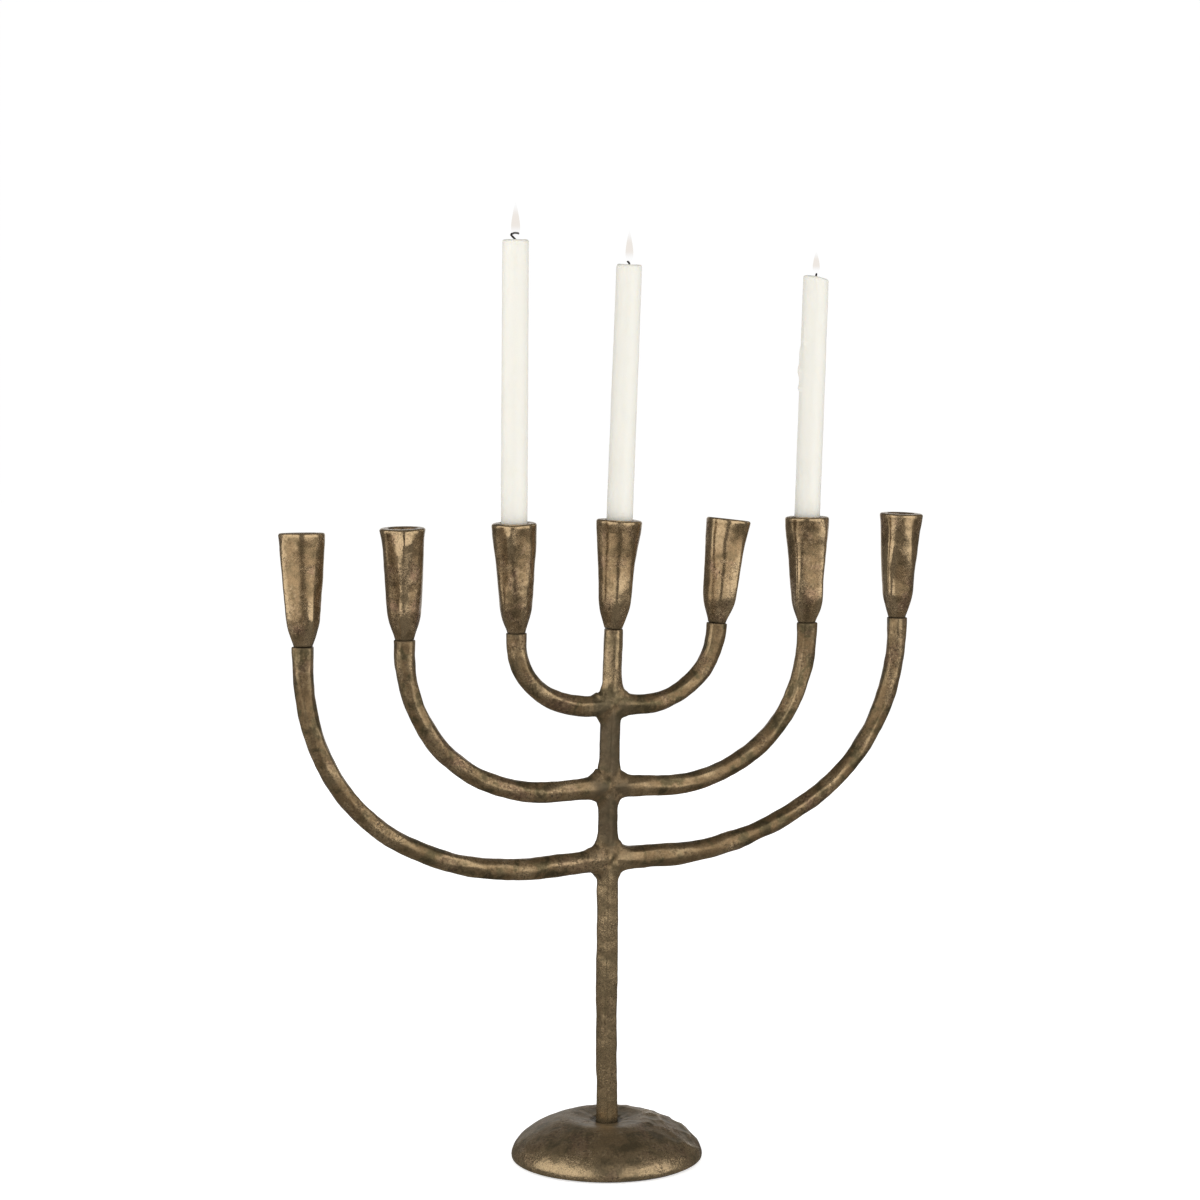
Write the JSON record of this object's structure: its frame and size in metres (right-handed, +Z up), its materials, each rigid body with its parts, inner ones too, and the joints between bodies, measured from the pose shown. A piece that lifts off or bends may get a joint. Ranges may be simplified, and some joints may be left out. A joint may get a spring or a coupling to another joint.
{
  "type": "menorah",
  "caption": "Table menorah with paired curved arms on a central stem, tulip-shaped candle cups, lift-out taper candles and a domed round base.",
  "frame": {"origin": "centre of the base's underside, on the surface that the menorah stands on", "axes": "+Z up along the stem, +X along the row of cups towards the viewer's right, +Y away from the viewer"},
  "size_m": [0.5898, 0.162, 0.7821],
  "materials": {
    "antique_brass": "cast, hammered and darkened, brightened on the high spots",
    "base_brass": "cast and hammered, dark olive brown on top and worn bright at the lower edge",
    "zinc_steel": "zinc plated",
    "felt": "pressed wool felt, dark brown",
    "wax": "ivory candle wax, satin",
    "wick": "braided cotton, charred"
  },
  "bodies": {
    "menorah": {"base_dome": "base_brass", "base_felt": "felt", "base_screw": "zinc_steel", "base_washer": "zinc_steel", "stem": "antique_brass", "arm_left_outer": "antique_brass", "arm_left_middle": "antique_brass", "arm_left_inner": "antique_brass", "arm_right_inner": "antique_brass", "arm_right_middle": "antique_brass", "arm_right_outer": "antique_brass", "cup_1": "antique_brass", "cup_2": "antique_brass", "cup_3": "antique_brass", "cup_4": "antique_brass", "cup_5": "antique_brass", "cup_6": "antique_brass", "cup_7": "antique_brass", "cup_stud_1": "zinc_steel", "cup_stud_2": "zinc_steel", "cup_stud_3": "zinc_steel", "cup_stud_4": "zinc_steel", "cup_stud_5": "zinc_steel", "cup_stud_6": "zinc_steel", "cup_stud_7": "zinc_steel"},
    "candle_left": {"candle_left": "wax", "wick_left": "wick"},
    "candle_centre": {"candle_centre": "wax", "wick_centre": "wick"},
    "candle_right": {"candle_right": "wax", "wick_right": "wick"}
  },
  "joints": [
    {"name": "lift_candle_left", "type": "slide", "parent": "menorah", "child": "candle_left", "axis": [0.007, 0, 1], "range_m": [0, 0.06]},
    {"name": "lift_candle_centre", "type": "slide", "parent": "menorah", "child": "candle_centre", "axis": [0.0401, 0, 0.9992], "range_m": [0, 0.06]},
    {"name": "lift_candle_right", "type": "slide", "parent": "menorah", "child": "candle_right", "axis": [0.0471, 0.0262, 0.9985], "range_m": [0, 0.06]}
  ]
}
